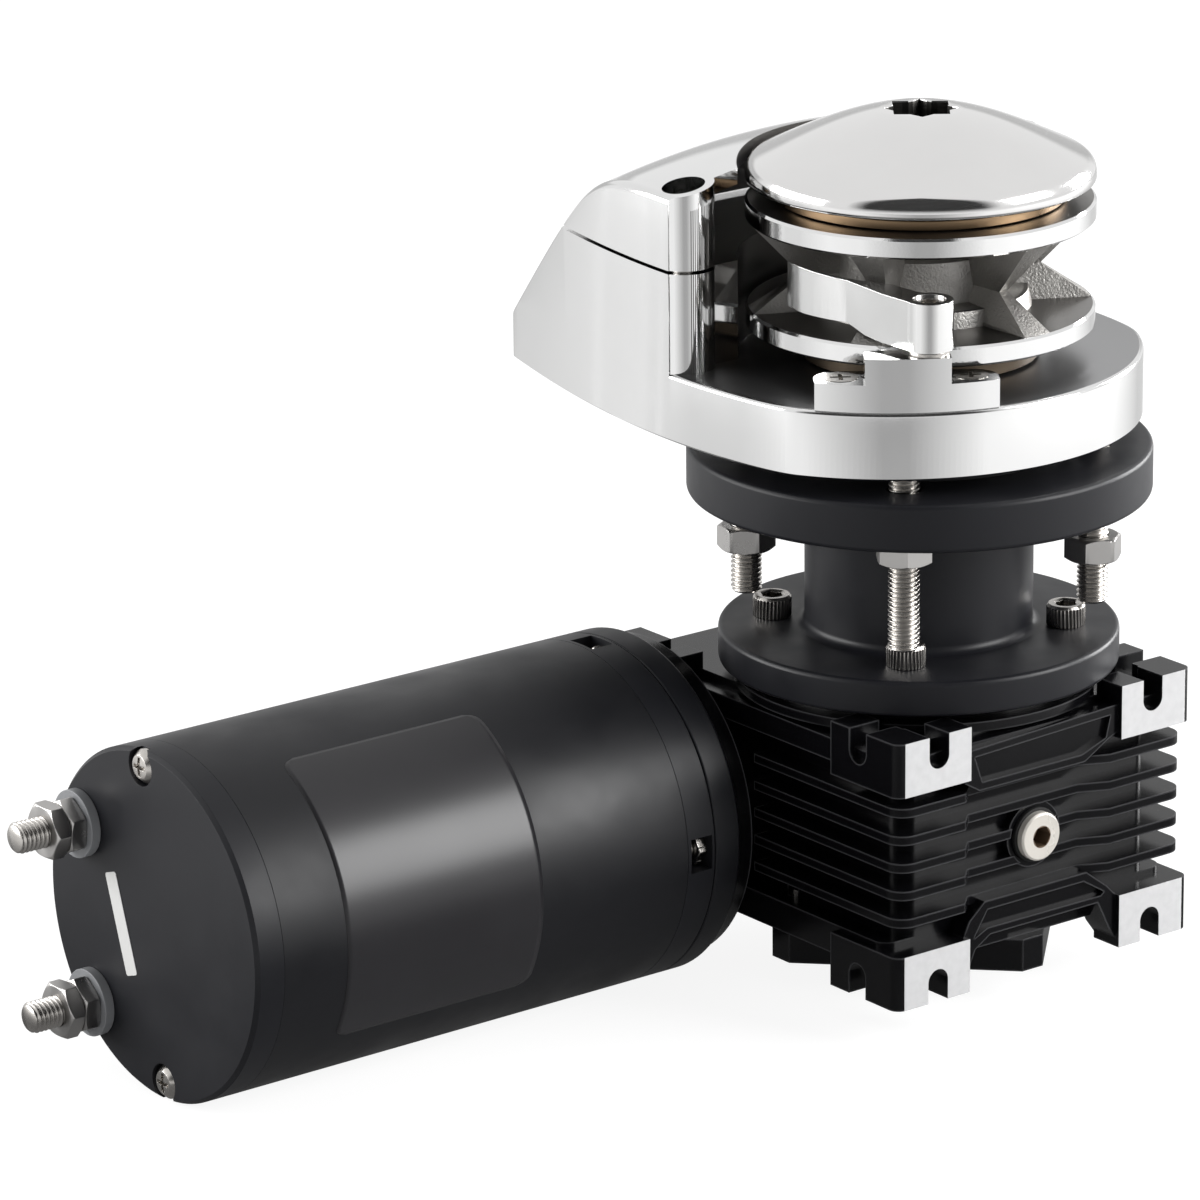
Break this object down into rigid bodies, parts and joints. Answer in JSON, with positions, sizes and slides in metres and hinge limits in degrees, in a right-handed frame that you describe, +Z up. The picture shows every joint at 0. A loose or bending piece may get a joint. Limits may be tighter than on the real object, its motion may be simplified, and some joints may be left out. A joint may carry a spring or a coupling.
{
  "type": "vertical anchor windlass",
  "caption": "Vertical anchor windlass: chain gypsy with clutch cap and hood on a deck plate, worm gearbox and DC motor below deck.",
  "frame": {"origin": "on the main shaft's axis at the underside of the deck plate", "axes": "+Z up along the main shaft, +Y towards the tail of the hood, -X towards the motor"},
  "size_m": [0.2902, 0.1764, 0.2237],
  "materials": {
    "polished_steel": "polished stainless steel",
    "cast_steel": "bead-blasted cast stainless steel with polished flange rims",
    "fastener_steel": "plain stainless steel",
    "bearing_steel": "ground steel",
    "bronze": "machined bronze",
    "black_aluminium": "satin black anodised",
    "black_casting": "gloss black paint on a casting",
    "black_steel": "satin black paint",
    "grey_polymer": "matt grey",
    "brown_polymer": "matt phenolic",
    "gasket_rubber": "matt black",
    "magnet": "sintered ferrite",
    "lamination": "stacked electrical steel",
    "copper": "enamelled copper",
    "carbon": "pressed carbon"
  },
  "bodies": {
    "frame": {"deck_plate": "polished_steel", "hood_cover": "polished_steel", "hood_screws": "fastener_steel", "chain_stripper": "grey_polymer", "stripper_screws": "fastener_steel", "arm_bracket": "polished_steel", "bracket_screws": "fastener_steel", "arm_pin": "fastener_steel", "arm_washer": "fastener_steel", "arm_spring": "fastener_steel", "deck_gasket": "gasket_rubber", "plate_bush": "bronze", "stand": "black_aluminium", "stand_bush": "bronze", "deck_studs": "fastener_steel", "deck_nuts": "fastener_steel", "stand_screws": "fastener_steel", "gear_housing": "black_casting", "bottom_cover": "black_casting", "cover_screws": "fastener_steel", "oil_plug": "fastener_steel", "plug_washer": "gasket_rubber", "shaft_bearing_upper": "bearing_steel", "shaft_bearing_lower": "bearing_steel", "shaft_seal": "gasket_rubber", "worm_bearing_near": "bearing_steel", "worm_bearing_far": "bearing_steel", "worm_end_cap": "black_casting", "worm_seal": "gasket_rubber", "motor_adaptor": "black_aluminium", "front_bell": "black_aluminium", "motor_tube": "black_steel", "rear_cap": "black_aluminium", "magnets": "magnet", "brushes": "carbon", "brush_holder": "brown_polymer", "rear_bearing": "bearing_steel", "through_bolts": "fastener_steel", "adaptor_nuts": "fastener_steel", "adaptor_studs": "fastener_steel", "terminal_studs": "fastener_steel", "terminal_nuts": "fastener_steel", "terminal_washers": "grey_polymer"},
    "output": {"main_shaft": "fastener_steel", "worm_wheel": "bronze", "wheel_hub": "fastener_steel", "lower_cone": "bronze", "clutch_keys": "fastener_steel"},
    "gypsy": {"gypsy_lower": "cast_steel", "gypsy_upper": "cast_steel", "gypsy_bush": "bronze", "gypsy_dowels": "fastener_steel"},
    "upper_cone": {"upper_cone": "bronze"},
    "cap": {"cap": "polished_steel"},
    "armature": {"worm_shaft": "bearing_steel", "armature_core": "lamination", "windings": "copper", "commutator": "copper"},
    "pressure_arm": {"pressure_arm": "polished_steel"}
  },
  "joints": [
    {"name": "worm_spin", "type": "hinge", "parent": "frame", "child": "armature", "pos_m": [0, 0.04, -0.0984], "axis": [1, 0, 0], "continuous": true},
    {"name": "shaft_spin", "type": "hinge", "parent": "frame", "child": "output", "pos_m": [0, 0, 0], "axis": [0, 0, 1], "continuous": true},
    {"name": "gypsy_spin", "type": "hinge", "parent": "output", "child": "gypsy", "pos_m": [0, 0, 0], "axis": [0, 0, 1], "continuous": true},
    {"name": "cone_lift", "type": "slide", "parent": "output", "child": "upper_cone", "axis": [0, 0, 1], "range_m": [0, 0.002]},
    {"name": "cap_turn", "type": "hinge", "parent": "upper_cone", "child": "cap", "pos_m": [0, 0, 0], "axis": [0, 0, 1], "range_deg": [0, 360]},
    {"name": "arm_swing", "type": "hinge", "parent": "frame", "child": "pressure_arm", "pos_m": [-0.02998, -0.03893, 0], "axis": [0, 0, 1], "range_deg": [0, 25], "stiffness_Nm_per_rad": 0.2, "springref_deg": -20.05}
  ],
  "couplings": [
    {"joint": "shaft_spin", "follows": "worm_spin", "ratio": 0.033333},
    {"joint": "cone_lift", "follows": "cap_turn", "m_per_rad": 0.00031831}
  ]
}
